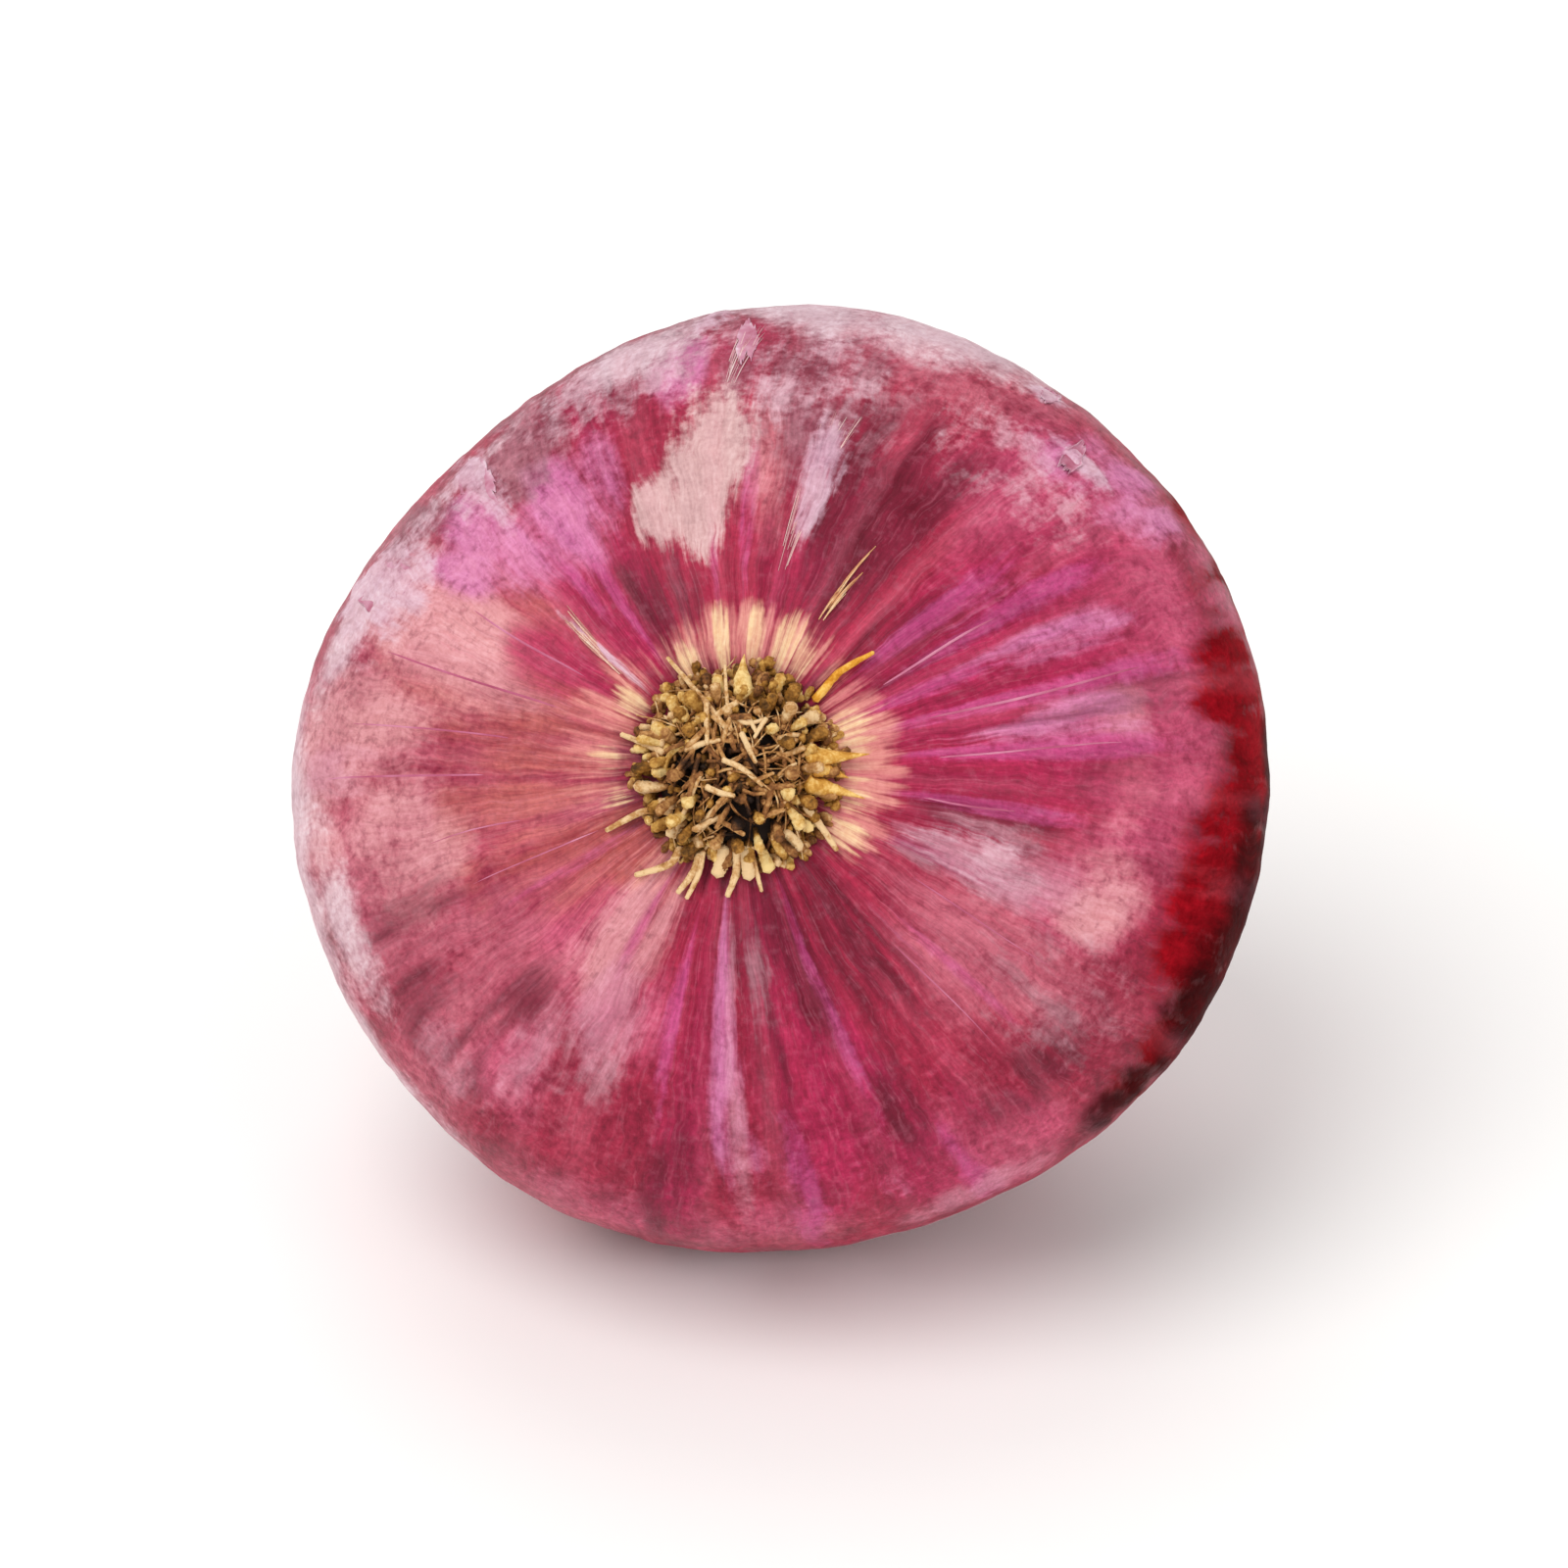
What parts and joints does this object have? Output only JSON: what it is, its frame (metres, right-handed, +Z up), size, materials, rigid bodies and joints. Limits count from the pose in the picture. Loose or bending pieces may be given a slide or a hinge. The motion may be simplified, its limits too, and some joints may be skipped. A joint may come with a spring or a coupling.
{
  "type": "red onion",
  "caption": "Whole red onion lying on its side, root end up and forward, with dry crimson skin, a tuft of dried roots and a torn papery neck.",
  "frame": {"origin": "on the small flat spot that the onion rests on, straight below the bulb's centre of mass", "axes": "+Z up from the surface it lies on, -Y towards the root end's side, +Y towards the neck's side, +X to the right as seen from the root end"},
  "size_m": [0.0782, 0.0795, 0.0731],
  "materials": {
    "onion_skin": "satin",
    "dried_root": "matte",
    "dried_leaf": "matte"
  },
  "bodies": {
    "root": {"bulb": "onion_skin", "root_tuft": "dried_root", "neck_leaves": "dried_leaf"}
  },
  "joints": []
}
